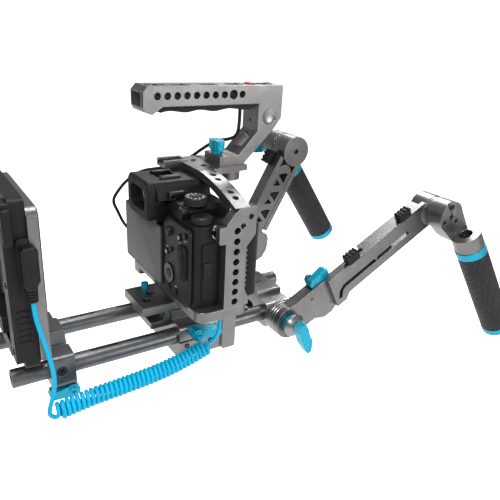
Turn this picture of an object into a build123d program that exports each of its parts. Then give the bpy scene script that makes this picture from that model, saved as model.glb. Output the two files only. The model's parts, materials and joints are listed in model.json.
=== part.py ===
"""Cinema camera rig: camera in a half cage, top handle, rods, battery plate and two adjustable grips.

+Z is up, +Y is the way the lens looks, along the rods, and +X is the operator's right.
The origin is the middle of the tripod thread, on the underside of the base plate.
"""
from build123d import *
import math
import os

os.makedirs("parts", exist_ok=True)

# ---------------------------------------------------------------- driving dimensions (mm)
ROD_D = 15.0                 # standard lightweight rods
ROD_BORE = 11.0
ROD_X = 30.0                 # rods stand 60 mm apart
ROD_Z = 20.0
ROD_REAR, ROD_FRONT = -165.0, 121.9
SLOT_LENGTH, SLOT_PITCH, SLOT_FIRST, SLOT_COUNT = 24.0, 43.0, -91.0, 5
FIT = 0.06                   # radial room of a rod in a fixed clamp
RUN_FIT = 0.1                # radial room of a turning or sliding part
GAP = 0.3                    # room between faces that move past each other

CLAMP_X = 41.0               # outer faces of the rod clamps
QUARTER_INCH_R = 3.175
THREE_EIGHTHS_R = 4.7625

BASE_REAR, BASE_FRONT, BASE_TOP = -27.0, 29.0, 33.0
DECK_TOP = 41.0              # underside of the dovetail slab
SLAB_TOP = 49.0
CAGE_Z0, CAGE_Z1 = 57.0, 66.0
CAGE_X0, CAGE_X1 = -62.0, 80.0
SIDE_PLATE_X0 = 71.0

BODY_Z = CAGE_Z1 + 0.02      # camera body underside
BODY_X0, BODY_X1 = -60.0, 70.5
BODY_REAR, BODY_FRONT = -31.0, 13.0
SHOULDER_Z = 146.0
HUMP_Z = 159.5
LENS_Z = 104.0

PLATE_REAR, PLATE_FRONT = -145.5, -137.5     # battery mount's metal back plate
PLATE_Z0, PLATE_Z1 = 40.0, 162.0
MOUNT_REAR = -162.0

HANDLE_HALF = 12.5
HANDLE_TOP, HANDLE_UNDER = 233.5, 216.5
HANDLE_REAR, HANDLE_FRONT = -44.0, 85.5

PIVOT_Y, PIVOT_Z = 80.0, ROD_Z
ROSETTE_R = 16.0
ARM_X = 48.0                 # inner face of the arm's housing
HOUSING_T = 12.0
CHANNEL_X0, CHANNEL_X1 = 60.3, 65.0
TOP_JOINT_X = 69.3
BRACKET_X1 = 90.0
ARM_HALF = 14.5              # half of the channel's height
BAR_HALF = 9.0
BAR_END = 137.0
GRIP_R = 15.5
GRIP_X = 103.7               # grip's axis from the middle, at the top of the rubber
GRIP_LENGTH = 100.0
GRIP_RING = 8.0
LUG_T = 2.4                  # lug that holds the slide lever
SLIDE_PIVOT = (40.0, 17.0)   # slide lever's pivot, along and across its arm

# Each arm: pitch and grip angle in degrees, grip's outward splay, and how far down and ahead its rubber starts.
ARMS = {
    "right": {"side": 1, "pitch": 28.4, "length": 193.0, "lock_hole": 3.4, "clips": (108, 36),
              "grip": 61.0, "splay": 9.0, "start": 45.0, "offset": 4.0},
    "left": {"side": -1, "pitch": 61.5, "length": 154.0, "lock_hole": 4.1, "clips": (108, 17.5),
             "grip": 55.0, "splay": 0.0, "start": 52.0, "offset": 7.0},
}

CORD_D = 3.6
COIL_D = 15.0
CABLE_D = 3.0

# Routes of the cords, chosen by hand.
REAR_LEAD = [(56, -147.5, 97), (56.1, -147.6, 86), (56.4, -145.4, 72), (57, -142.0, 55),
             (57.6, -139.4, 39), (58.0, -138.8, 24), (57.8, -141.8, 11), (58.2, -145.0, 2.2),
             (59.0, -144.8, -4.0), (59.8, -139.8, -5.2)]
COIL_ROUTE = [(60, -140, 0.3), (60, -118, 4.2), (60, -88, 6.0), (60, -56, 8.6),
              (60, -28, 14.4), (60.5, -9.5, 21.6)]
FRONT_LEAD = [(60.5, -9.5, 21.6), (61.4, -2.6, 26.4), (63.6, -0.8, 36.5), (65.2, -1.4, 47.5),
              (66, -2.2, 56.7)]
TRIGGER_ROUTE = [(0, 49.6, 216.3), (0, 50, 201), (-2, 49.5, 188), (-9, 44, 183.5), (-19, 38, 181.5),
                 (-28, 29.5, 173), (-36.5, 20, 162.5), (-42, 8, 155), (-50, -6, 151.5), (-61, -18, 148),
                 (-70, -29, 138), (-76.5, -37, 125), (-80, -41, 115), (-80, -36, 104), (-78, -32.5, 94),
                 (-73.5, -29.5, 88.5), (-68, -28, 87)]



# ---------------------------------------------------------------- helpers
def across(y):
    """Upright plane across the rig at y: its x is +X and its y is +Z."""
    return Plane((0, y, 0), x_dir=(1, 0, 0), z_dir=(0, -1, 0))


def along(x):
    """Upright plane along the rig at x: its x is +Y and its y is +Z."""
    return Plane.YZ.offset(x)


def level(z):
    """Flat plane at height z."""
    return Plane.XY.offset(z)


def middle(low, high):
    return (low + high) / 2


def save(builder, name):
    """Label a finished piece and write it."""
    builder.part.label = name
    export_step(builder.part, f"parts/{name}.step")


def cord_radii(points):
    """Largest arc that each corner's shorter run allows, at 0.45 of that run."""
    vectors = [Vector(*point) for point in points]
    radii = []
    for before, here, after in zip(vectors, vectors[1:], vectors[2:]):
        run_in, run_out = here - before, after - here
        half_turn = math.radians(run_in.get_angle(run_out)) / 2
        radii.append(0.45 * min(run_in.length, run_out.length) / math.tan(half_turn))
    return radii


def make_cord(points, diameter, name):
    """A cord's tube: straight runs joined by tangent arcs."""
    radii = cord_radii(points)
    with BuildPart() as cord:
        with BuildLine() as path:
            FilletPolyline(*points, radius=radii)
        route = path.wire()
        with BuildSketch(Plane(route @ 0, z_dir=route % 0)):
            Circle(diameter / 2)
        sweep(path=route)
    expected = math.pi * diameter ** 2 / 4 * route.length
    print(name, "length", round(route.length, 1), "radii", [round(r, 1) for r in radii],
          "volume ratio", round(cord.part.volume / expected, 3))
    save(cord, name)


def hinge_line(x0, x1, y, z):
    """Plane, facing +X, at a pivot that lies along X, and the pivot's length."""
    return Plane((x0, y, z), x_dir=(0, 1, 0), z_dir=(1, 0, 0)), x1 - x0


# ---------------------------------------------------------------- rods and their clamps
with BuildPart() as rods:
    with BuildSketch(across(ROD_REAR)):
        with Locations((-ROD_X, ROD_Z), (ROD_X, ROD_Z)):
            Circle(ROD_D / 2)
            Circle(ROD_BORE / 2, mode=Mode.SUBTRACT)
    extrude(amount=ROD_REAR - ROD_FRONT)
    with BuildSketch(level(ROD_Z + ROD_D)):
        with Locations(*[(x, SLOT_FIRST + SLOT_PITCH * n) for x in (-ROD_X, ROD_X) for n in range(SLOT_COUNT)]):
            SlotOverall(SLOT_LENGTH, 3.2, rotation=90)
    extrude(amount=-ROD_D, mode=Mode.SUBTRACT)
save(rods, "rods")

REAR_CLAMP_Y0, REAR_CLAMP_Y1 = -140.0, -118.0
SLAB_SCREWS = [(8, -44), (-4, -36)]
COLLAR_R = 11.0
REAR_LEVER_Y, REAR_LEVER_Z = -121.0, 0.0
LUG_X = ROD_X - 4
with BuildPart() as rear_clamp:
    with BuildSketch(across(REAR_CLAMP_Y0 + 3)):
        with Locations((-ROD_X, ROD_Z), (ROD_X, ROD_Z)):
            RectangleRounded(2 * COLLAR_R, 2 * COLLAR_R + 6, 5)
        with Locations((0, ROD_Z + 4)):
            Rectangle(2 * ROD_X, 13)
        with Locations((0, ROD_Z + 14)):
            Trapezoid(36, 14, 66)
        with Locations((-ROD_X, ROD_Z), (ROD_X, ROD_Z)):
            Circle(ROD_D / 2 + FIT, mode=Mode.SUBTRACT)
        with Locations((0, ROD_Z + 4)):
            SlotOverall(26, 6, mode=Mode.SUBTRACT)
    extrude(amount=REAR_CLAMP_Y0 + 3 - REAR_CLAMP_Y1)
    with BuildSketch(across(PLATE_FRONT)):
        with Locations((0, PLATE_Z0 + 1)):
            RectangleRounded(36, 18, 3)
    extrude(amount=PLATE_FRONT - (REAR_CLAMP_Y0 + 6))
    with BuildSketch(along(LUG_X)):
        with Locations((REAR_LEVER_Y + 0.5, REAR_LEVER_Z + 3)):
            RectangleRounded(10, 14, 2)
        with Locations((REAR_LEVER_Y, REAR_LEVER_Z)):
            Circle(2.0 + RUN_FIT, mode=Mode.SUBTRACT)
    extrude(amount=3.2)
    with Locations(Plane((CLAMP_X, -129, ROD_Z + 2), z_dir=(1, 0, 0))):
        CounterBoreHole(2.6, 4.4, 3.5, depth=3.5)
    with Locations(Plane((-CLAMP_X, -129, ROD_Z + 2), z_dir=(-1, 0, 0))):
        CounterBoreHole(2.6, 4.4, 3.5, depth=3.5)
save(rear_clamp, "rear_clamp")


def screw_head(plane, head_radius, head_height, hex_radius, hex_depth):
    """A cap screw's head, standing on the plane, with its hex socket."""
    with BuildPart() as head:
        with BuildSketch(plane):
            Circle(head_radius)
        extrude(amount=head_height)
        with BuildSketch(plane.offset(head_height)):
            RegularPolygon(hex_radius, 6)
        extrude(amount=-hex_depth, mode=Mode.SUBTRACT)
    return head.part


with BuildPart() as rig_screws:
    for clamp_side in (-1, 1):
        face = Plane((clamp_side * (CLAMP_X - 3.5), -129, ROD_Z + 2), z_dir=(clamp_side, 0, 0))
        add(screw_head(face, 4.2, 3.2, 2.2, 2.2))
    for screw_x, screw_y in SLAB_SCREWS:
        add(screw_head(Plane((screw_x, screw_y, SLAB_TOP - 4)), 3.6, 3.2, 2.0, 2.0))
save(rig_screws, "rig_screws")


def make_cam_lever(name, x0, x1, y, z, reach, droop, shaft_to=None, width=7.0):
    """A ratchet lever on a pivot along X: a hub, a thumb tab and its shaft."""
    plane, thickness = hinge_line(x0, x1, y, z)
    heading = 1 if reach > 0 else -1
    with BuildPart() as lever:
        with BuildSketch(plane):
            Circle(5.6)
            with BuildLine():
                Polyline((0, 5.2), (reach * 0.62, width / 2 + droop * 0.4), (reach, width / 2 + droop),
                         (reach + heading * 1.5, droop - 1.5), (reach * 0.9, droop - width / 2),
                         (reach * 0.4, -4.8), (0, -5.2), (0, 5.2))
            make_face()
        extrude(amount=thickness)
        fillet(lever.edges().filter_by(Axis.X).sort_by(Axis.Y)[-1 if reach > 0 else 0], 1.2)
        with BuildSketch(plane.offset(thickness)):
            Circle(3.4)
            RegularPolygon(1.9, 6, mode=Mode.SUBTRACT)
        extrude(amount=1.2)
        if shaft_to is not None:
            with BuildSketch(plane):
                Circle(2.0)
            extrude(amount=shaft_to - x0)
    save(lever, name)


make_cam_lever("rear_clamp_lever", ROD_X - 0.5, ROD_X + 9.5, REAR_LEVER_Y, REAR_LEVER_Z, -17, -1.0,
               shaft_to=LUG_X)

# ---------------------------------------------------------------- base plate and dovetail
BASE_LEVER_Y, BASE_LEVER_Z = -14.0, 28.0
BASE_KNOB = (16.0, 34.0)
with BuildPart() as base_plate:
    with BuildSketch(across(BASE_REAR)):
        with Locations((0, BASE_TOP / 2)):
            RectangleRounded(2 * CLAMP_X, BASE_TOP, 4)
        with Locations((0, middle(BASE_TOP - 6, DECK_TOP))):
            Rectangle(48, DECK_TOP - BASE_TOP + 6)
        with Locations((-ROD_X, ROD_Z), (ROD_X, ROD_Z)):
            Circle(ROD_D / 2 + FIT, mode=Mode.SUBTRACT)
        with Locations((-CLAMP_X, ROD_Z - 2), (CLAMP_X, ROD_Z - 2)):
            Rectangle(12, 1.6, mode=Mode.SUBTRACT)
    extrude(amount=BASE_REAR - BASE_FRONT)
    with BuildSketch(level(0)):
        with Locations((-27, -20), (27, -20), (-27, 22), (27, 22)):
            SlotOverall(14, 4)
    extrude(amount=3, mode=Mode.SUBTRACT)
    with BuildSketch(level(0)):
        Circle(QUARTER_INCH_R)
    extrude(amount=12, mode=Mode.SUBTRACT)
    with BuildSketch(level(0)):
        with Locations((0, 16)):
            Circle(THREE_EIGHTHS_R)
        with Locations((0, -16)):
            Circle(QUARTER_INCH_R)
    extrude(amount=10, mode=Mode.SUBTRACT)
    with BuildSketch(along(CLAMP_X)):
        with Locations((21.5, 21)):
            RectangleRounded(14, 40, 2)
    extrude(amount=2.5)
    with BuildSketch(along(CLAMP_X)):
        with Locations((BASE_LEVER_Y, BASE_LEVER_Z)):
            Circle(2.0 + RUN_FIT)
    extrude(amount=-6, mode=Mode.SUBTRACT)
    with BuildSketch(across(BASE_FRONT)):
        with Locations(BASE_KNOB):
            Circle(2.4 + RUN_FIT)
    extrude(amount=9, mode=Mode.SUBTRACT)
save(base_plate, "base_plate")

make_cam_lever("base_lever", CLAMP_X + GAP, CLAMP_X + 11, BASE_LEVER_Y, BASE_LEVER_Z, 22, -2.0,
               shaft_to=CLAMP_X - 5)

KNOB_Y0 = BASE_FRONT + GAP
with BuildPart() as base_knob:
    with BuildSketch(across(KNOB_Y0)):
        with Locations(BASE_KNOB):
            Circle(4)
    extrude(amount=-3)
    with BuildSketch(across(KNOB_Y0)):
        with Locations(BASE_KNOB):
            Circle(2.4)
    extrude(amount=8)
    with BuildSketch(across(KNOB_Y0 + 3)):
        with Locations(BASE_KNOB):
            Circle(6)
            with PolarLocations(6.6, 10):
                Circle(1.2, mode=Mode.SUBTRACT)
    extrude(amount=-9)
save(base_knob, "base_knob")

SLAB_REAR, SLAB_FRONT, SLAB_HALF = -53.0, 40.0, 22.0
LATCH_X, LATCH_Y = -15.0, -36.0
with BuildPart() as dovetail_plate:
    with BuildSketch(along(-SLAB_HALF)):
        with BuildLine():
            Polyline((SLAB_REAR, DECK_TOP), (SLAB_REAR, SLAB_TOP), (SLAB_FRONT, SLAB_TOP),
                     (SLAB_FRONT, DECK_TOP), (BASE_REAR - GAP, DECK_TOP), (BASE_REAR - GAP, 27),
                     (-46, 27), (-46, 33), (-36, 33))
            ThreePointArc((-36, 33), (-32, 37), (-36, 41))
            Line((-36, 41), (SLAB_REAR, DECK_TOP))
        make_face()
    extrude(amount=2 * SLAB_HALF)
    with BuildSketch(level(SLAB_TOP)):
        with Locations((0, 10)):
            Rectangle(28, 46)
    extrude(amount=CAGE_Z0 - SLAB_TOP)
    with BuildSketch(level(SLAB_TOP)):
        with Locations(*SLAB_SCREWS):
            Circle(4)
    extrude(amount=-4, mode=Mode.SUBTRACT)
    with BuildSketch(level(SLAB_TOP)):
        with Locations((LATCH_X, LATCH_Y)):
            Circle(2.0 + RUN_FIT)
    extrude(amount=-6, mode=Mode.SUBTRACT)
    chamfer(dovetail_plate.edges().filter_by(Axis.Y).group_by(Axis.Z)[-2], 0.8)
save(dovetail_plate, "dovetail_plate")

with BuildPart() as dovetail_latch:
    with BuildSketch(level(SLAB_TOP + GAP)):
        with Locations((LATCH_X, LATCH_Y)):
            Circle(3.5)
            with PolarLocations(3.9, 10):
                Circle(0.6, mode=Mode.SUBTRACT)
    extrude(amount=5.5)
    with BuildSketch(level(SLAB_TOP + GAP)):
        with Locations((LATCH_X, LATCH_Y)):
            Circle(2.0)
    extrude(amount=-5.5)
save(dovetail_latch, "dovetail_latch")

# ---------------------------------------------------------------- battery plate
with BuildPart() as battery_backplate:
    with BuildSketch(across(PLATE_REAR)):
        with Locations((0, middle(PLATE_Z0, PLATE_Z1))):
            RectangleRounded(104, PLATE_Z1 - PLATE_Z0, 8)
        with Locations((-34, 135), (34, 135), (-34, 70), (34, 70)):
            Circle(2.2, mode=Mode.SUBTRACT)
        with Locations((0, 128), (0, 96)):
            SlotOverall(52, 10, mode=Mode.SUBTRACT)
    extrude(amount=PLATE_REAR - PLATE_FRONT)
    chamfer(battery_backplate.faces().sort_by(Axis.Y)[-1].outer_wire().edges(), 1.0)
save(battery_backplate, "battery_backplate")

with BuildPart() as battery_mount:
    with BuildSketch(across(MOUNT_REAR + 6)):
        with Locations((0, middle(PLATE_Z0 - 4, PLATE_Z1 + 6))):
            RectangleRounded(98, PLATE_Z1 - PLATE_Z0 + 10, 5)
    extrude(amount=MOUNT_REAR + 6 - PLATE_REAR)
    with BuildSketch(across(MOUNT_REAR)):
        with Locations((-41, 104), (41, 104)):
            RectangleRounded(16, 124, 3)
        with Locations((0, 45)):
            RectangleRounded(60, 12, 2)
    extrude(amount=-6)
    with BuildSketch(across(MOUNT_REAR + 6)):
        with BuildLine():
            Polyline((-24, 168.5), (-14, 84), (14, 84), (24, 168.5), (-24, 168.5))
        make_face()
    extrude(amount=-4.5, mode=Mode.SUBTRACT)
    with BuildSketch(along(49)):
        with Locations((-149.5, 118)):
            RectangleRounded(7, 34, 1.5)
    extrude(amount=3)
save(battery_mount, "battery_mount")

CONTACT_Z = 62.0
with BuildPart() as contact_block:
    with BuildSketch(across(MOUNT_REAR + 6)):
        with Locations((0, CONTACT_Z)):
            RectangleRounded(44, 14, 2)
    extrude(amount=9)
    with BuildSketch(across(MOUNT_REAR - 3)):
        with Locations(*[(x, CONTACT_Z) for x in (-16, -8, 0, 8, 16)]):
            SlotOverall(8, 2.6, rotation=90)
    extrude(amount=-5, mode=Mode.SUBTRACT)
save(contact_block, "contact_block")

with BuildPart() as contact_pins:
    with BuildSketch(across(MOUNT_REAR + 2)):
        with Locations(*[(x, CONTACT_Z) for x in (-16, -8, 0, 8, 16)]):
            SlotOverall(6, 1.2, rotation=90)
    extrude(amount=4)
save(contact_pins, "contact_pins")

LATCH_TAB_Z = 150.0
with BuildPart() as battery_release:
    with BuildSketch(along(49 + GAP)):
        with Locations((-158.5, LATCH_TAB_Z)):
            RectangleRounded(6.5, 26, 2)
    extrude(amount=5)
    chamfer(battery_release.faces().sort_by(Axis.X)[-1].edges(), 0.8)
save(battery_release, "battery_release")

PLUG_X0 = 52.0
PLUG_EXIT = REAR_LEAD[0][:2]
with BuildPart() as power_plug:
    with BuildSketch(along(PLUG_X0)):
        with BuildLine():
            Polyline((-153, 109), (-153, 135), (-151, 137), (-144, 137), (-142, 135), (-142, 112),
                     (-145, 106), (-150.5, 106), (-153, 109))
        make_face()
    extrude(amount=9)
    chamfer(power_plug.faces().sort_by(Axis.X)[-1].edges(), 1.0)
    for ring in range(4):
        with BuildSketch(level(106 - 2.25 * ring)):
            with Locations(PLUG_EXIT):
                Circle(3.6 - 0.1 * ring)
        extrude(amount=-1.5)
        with BuildSketch(level(104.5 - 2.25 * ring)):
            with Locations(PLUG_EXIT):
                Circle(2.9)
        extrude(amount=-0.75)
save(power_plug, "power_plug")

# ---------------------------------------------------------------- power cord
make_cord(REAR_LEAD, CORD_D, "power_lead_rear")
make_cord(COIL_ROUTE, COIL_D, "power_coil")
make_cord(FRONT_LEAD, CORD_D, "power_lead_front")

# ---------------------------------------------------------------- cage
with BuildPart() as cage_base:
    with BuildSketch(level(CAGE_Z0)):
        with Locations((middle(CAGE_X0, CAGE_X1), -6)):
            RectangleRounded(CAGE_X1 - CAGE_X0, 48, 9)
        with Locations((-38, -2), (44, -2)):
            SlotOverall(30, 7, mode=Mode.SUBTRACT)
    extrude(amount=CAGE_Z1 - CAGE_Z0)
    with BuildSketch(level(CAGE_Z0)):
        with Locations((-54, -20)):
            RectangleRounded(14, 16, 2)
    extrude(amount=-9)
    fillet(cage_base.faces().sort_by(Axis.Z)[-1].outer_wire().edges(), 0.8)
save(cage_base, "cage_base")

HOLE_Y, HOLE_Z0, HOLE_PITCH, HOLE_COUNT = 3.0, 70.9, 8.8, 8
SIDE_TOP = 151.0
with BuildPart() as cage_side:
    with BuildSketch(along(SIDE_PLATE_X0)):
        with BuildLine():
            Polyline((-7, CAGE_Z1), (-7, 138), (-1, 146), (5, SIDE_TOP), (20, SIDE_TOP), (20, 128),
                     (12, 118), (12, 80), (16, 72), (16, CAGE_Z1), (-7, CAGE_Z1))
        make_face()
        with Locations(*[(HOLE_Y, HOLE_Z0 + HOLE_PITCH * n) for n in range(HOLE_COUNT)]):
            Circle(QUARTER_INCH_R - 0.2, mode=Mode.SUBTRACT)
    extrude(amount=CAGE_X1 - SIDE_PLATE_X0)
    with BuildSketch(along(CAGE_X1 - 6)):
        with Locations((-9.5, 130)):
            RectangleRounded(7, 14, 1.2)
    extrude(amount=6)
    with BuildSketch(along(CAGE_X1)):
        with Locations((8, 136), (15, 143)):
            Circle(2.4)
    extrude(amount=-4, mode=Mode.SUBTRACT)
save(cage_side, "cage_side")

TOP_Z0, TOP_Z1 = 161.0, 166.0
SHOE_X = -21.5
RAIL_BOSS = (2.0, 37.0)
with BuildPart() as cage_top:
    with BuildSketch(level(TOP_Z0)):
        with BuildLine():
            Polyline((-30, -16), (-30, 28), (-14, 48), (16, 50), (20, 22), (20, 0), (-13, 0), (-13, -16),
                     (-30, -16))
        make_face()
    extrude(amount=TOP_Z1 - TOP_Z0)
    with BuildSketch(across(0)):
        with BuildLine():
            Polyline((12, 160), (12, TOP_Z1), (20, TOP_Z1))
            ThreePointArc((20, TOP_Z1), (52, 160.5), (80, SIDE_TOP))
            Polyline((80, SIDE_TOP), (SIDE_PLATE_X0, SIDE_TOP), (68, 147))
            ThreePointArc((68, 147), (44, 155.5), (12, 160))
        make_face()
    extrude(amount=-14)
    with BuildSketch(level(TOP_Z1)):
        with Locations((31, 7), (40, 7), (60, 7), (68, 7)):
            Circle(2.6)
    extrude(amount=-20, mode=Mode.SUBTRACT)
    with BuildSketch(level(TOP_Z0)):
        with Locations(RAIL_BOSS):
            Circle(12)
    extrude(amount=-9)
    with BuildSketch(level(TOP_Z1)):
        with Locations((SHOE_X, -5)):
            Rectangle(17, 22)
    extrude(amount=1.5)
    with BuildSketch(across(-16.5)):
        with Locations((SHOE_X, TOP_Z0 + 3.2)):
            Rectangle(14, 2.4)
        with Locations((SHOE_X, TOP_Z0 + 6)):
            Rectangle(10, 3.6)
    extrude(amount=-20, mode=Mode.SUBTRACT)
save(cage_top, "cage_top")

# ---------------------------------------------------------------- camera
SCREEN_X0, SCREEN_X1, SCREEN_Z0, SCREEN_Z1 = -58.0, 23.0, 68.0, 123.0
SCREEN_REAR = -36.0
WHEEL_X, WHEEL_Z, WHEEL_R = 35.0, 86.0, 8.5
PANEL_REAR = -34.0
MODE_DIAL = (44.0, -15.5)
REAR_DIAL = (60.0, -18.0)
DECK_Z = 136.0
DECK_X = 50.5                # the grip side's lower deck starts here
SHUTTER = (58.0, 26.0)
BODY_MID_X = middle(BODY_X0, BODY_X1)

with BuildPart() as camera_body:
    with BuildSketch(level(BODY_Z)):
        with Locations((BODY_MID_X, middle(BODY_REAR, BODY_FRONT))):
            RectangleRounded(BODY_X1 - BODY_X0, BODY_FRONT - BODY_REAR, 9)
    extrude(amount=SHOULDER_Z - 4 - BODY_Z)
    with BuildSketch(level(SHOULDER_Z - 4)):
        with Locations((-4.5, middle(BODY_REAR, BODY_FRONT))):
            RectangleRounded(111, BODY_FRONT - BODY_REAR, 8)
    with BuildSketch(level(SHOULDER_Z)):
        with Locations((-4.5, middle(BODY_REAR, BODY_FRONT))):
            RectangleRounded(104, BODY_FRONT - BODY_REAR - 6, 7)
    loft()
    with BuildSketch(level(DECK_Z)):
        with Locations((BODY_X1, middle(BODY_REAR, BODY_FRONT))):
            Rectangle(2 * (BODY_X1 - DECK_X), 60)
    extrude(amount=12, mode=Mode.SUBTRACT)
    with BuildSketch(across(PANEL_REAR)):
        with Locations((middle(24, 69), middle(BODY_Z + 1, DECK_Z - 2))):
            RectangleRounded(45, DECK_Z - BODY_Z - 3, 5)
    extrude(amount=PANEL_REAR - BODY_REAR)
    with Locations(Plane((WHEEL_X, PANEL_REAR, WHEEL_Z), z_dir=(0, -1, 0))):
        Hole(WHEEL_R + 0.3, depth=2.5)
    with Locations(Plane((0, BODY_FRONT, LENS_Z), z_dir=(0, 1, 0))):
        Hole(23, depth=6)
save(camera_body, "camera_body")

with BuildPart() as camera_hump:
    with BuildSketch(across(-40)):
        with BuildLine():
            Polyline((-27, SHOULDER_Z), (-23, HUMP_Z - 4), (-19, HUMP_Z), (19, HUMP_Z),
                     (23, HUMP_Z - 4), (27, SHOULDER_Z), (-27, SHOULDER_Z))
        make_face()
    extrude(amount=-48)
    with BuildSketch(across(-40)):
        with Locations((0, 135.5)):
            RectangleRounded(46, 21, 4)
    extrude(amount=-8.8)
    fillet(camera_hump.edges().filter_by(Axis.Y).group_by(Axis.Z)[-1], 1.5)
    with BuildSketch(level(HUMP_Z)):
        with Locations((0, -22)):
            Rectangle(18.6, 18, mode=Mode.ADD)
    extrude(amount=-2.0, mode=Mode.SUBTRACT)
    with BuildSketch(level(HUMP_Z - 2)):
        with Locations((-10.4, -22), (10.4, -22)):
            Rectangle(2, 18)
    extrude(amount=3)
    with Locations(Plane((0, -40, 144), z_dir=(0, -1, 0))):
        Hole(9, depth=5)
save(camera_hump, "viewfinder")

with BuildPart() as eyecup:
    with BuildSketch(across(-47)):
        with Locations((0, 143.5)):
            RectangleRounded(45, 34, 8)
            RectangleRounded(30, 19, 6, mode=Mode.SUBTRACT)
    extrude(amount=-6.9)
    fillet(eyecup.faces().sort_by(Axis.Y)[0].outer_wire().edges(), 2.2)
save(eyecup, "eyecup")

with BuildPart() as camera_grip:
    with BuildSketch(level(BODY_Z)):
        with BuildLine():
            Polyline((36, BODY_FRONT), (42, BODY_FRONT + 14), (50, BODY_FRONT + 20))
            ThreePointArc((50, BODY_FRONT + 20), (63, BODY_FRONT + 21), (68, BODY_FRONT + 10))
            Polyline((68, BODY_FRONT + 10), (66, BODY_FRONT), (36, BODY_FRONT))
        make_face()
    extrude(amount=DECK_Z - 6 - BODY_Z)
    fillet(camera_grip.faces().sort_by(Axis.Z)[-1].edges().filter_by(Axis.X, reverse=True)[0:2], 2.0)
    with Locations(Plane((*SHUTTER, DECK_Z - 6), z_dir=(0, 0, 1))):
        Hole(5.6, depth=2.5)
save(camera_grip, "camera_grip")

with BuildPart() as shutter_button:
    with BuildSketch(level(DECK_Z - 7.8)):
        with Locations(SHUTTER):
            Circle(5.4)
    extrude(amount=4.4)
    fillet(shutter_button.faces().sort_by(Axis.Z)[-1].edges(), 1.0)
save(shutter_button, "shutter_button")

with BuildPart() as screen:
    with BuildSketch(across(SCREEN_REAR)):
        with Locations((middle(SCREEN_X0, SCREEN_X1), middle(SCREEN_Z0, SCREEN_Z1))):
            RectangleRounded(SCREEN_X1 - SCREEN_X0, SCREEN_Z1 - SCREEN_Z0, 3)
    extrude(amount=SCREEN_REAR - (BODY_REAR - GAP))
    chamfer(screen.faces().sort_by(Axis.Y)[0].edges(), 0.6)
save(screen, "screen")


def make_dial(name, plane, radius, height, notches, top_bevel=0.8):
    """A knurled dial standing on a plane."""
    with BuildPart() as dial:
        with BuildSketch(plane):
            Circle(radius)
        extrude(amount=height)
        chamfer(dial.faces().sort_by(lambda face: -(face.center() - plane.origin).length)[0].edges(), top_bevel)
        with BuildSketch(plane.offset(0.8)):
            with PolarLocations(radius + 0.35, notches):
                Circle(0.75)
        extrude(amount=height - 0.8, mode=Mode.SUBTRACT)
    save(dial, name)


make_dial("mode_dial", level(SHOULDER_Z + GAP).move(Location((*MODE_DIAL, 0))), 9.5, 6.5, 36)
make_dial("rear_dial", level(DECK_Z + GAP).move(Location((*REAR_DIAL, 0))), 8.5, 5.5, 32)

with BuildPart() as control_wheel:
    with BuildSketch(across(PANEL_REAR + 2.2)):
        with Locations((WHEEL_X, WHEEL_Z)):
            Circle(WHEEL_R)
            Circle(WHEEL_R - 4.2, mode=Mode.SUBTRACT)
            with PolarLocations(WHEEL_R + 0.3, 30):
                Circle(0.6, mode=Mode.SUBTRACT)
    extrude(amount=3.4)
save(control_wheel, "control_wheel")

BUTTONS = [(34, 68.0 + 5, 2.4), (47, 73, 2.4), (31, 104, 2.6), (38, 108, 2.2), (54, 124, 3.0), (63, 128, 2.6)]
with BuildPart() as rear_buttons:
    with BuildSketch(across(PANEL_REAR)):
        for button_x, button_z, button_r in BUTTONS:
            with Locations((button_x, button_z)):
                Circle(button_r)
    extrude(amount=1.3)
    with BuildSketch(across(PANEL_REAR + 2.5)):
        with Locations((WHEEL_X, WHEEL_Z)):
            Circle(WHEEL_R - 4.6)
    extrude(amount=4.2)
    with BuildSketch(across(PANEL_REAR)):
        with Locations((35, 123)):
            Circle(4.2)
    extrude(amount=2.6, taper=18)
save(rear_buttons, "rear_buttons")

DOOR_Z0, DOOR_Z1 = 72.0, 122.0
with BuildPart() as card_door:
    with BuildSketch(along(BODY_X1 + 0.05)):
        with Locations((middle(-23.5, -9.5), middle(DOOR_Z0, DOOR_Z1))):
            RectangleRounded(13.5, DOOR_Z1 - DOOR_Z0, 2)
    extrude(amount=1.4)
    chamfer(card_door.faces().sort_by(Axis.X)[-1].edges(), 0.5)
save(card_door, "card_door")

with BuildPart() as lens_cap:
    with BuildSketch(across(BODY_FRONT)):
        with Locations((0, LENS_Z)):
            Circle(31)
    extrude(amount=-3)
    with BuildSketch(across(BODY_FRONT + 3)):
        with Locations((0, LENS_Z)):
            Circle(28)
            with PolarLocations(28.6, 48):
                Circle(1.0, mode=Mode.SUBTRACT)
    extrude(amount=-7)
    chamfer(lens_cap.faces().sort_by(Axis.Y)[-1].outer_wire().edges().filter_by(GeomType.CIRCLE)
            .sort_by(SortBy.RADIUS)[-1:], 0.4)
save(lens_cap, "lens_mount_cap")

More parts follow.
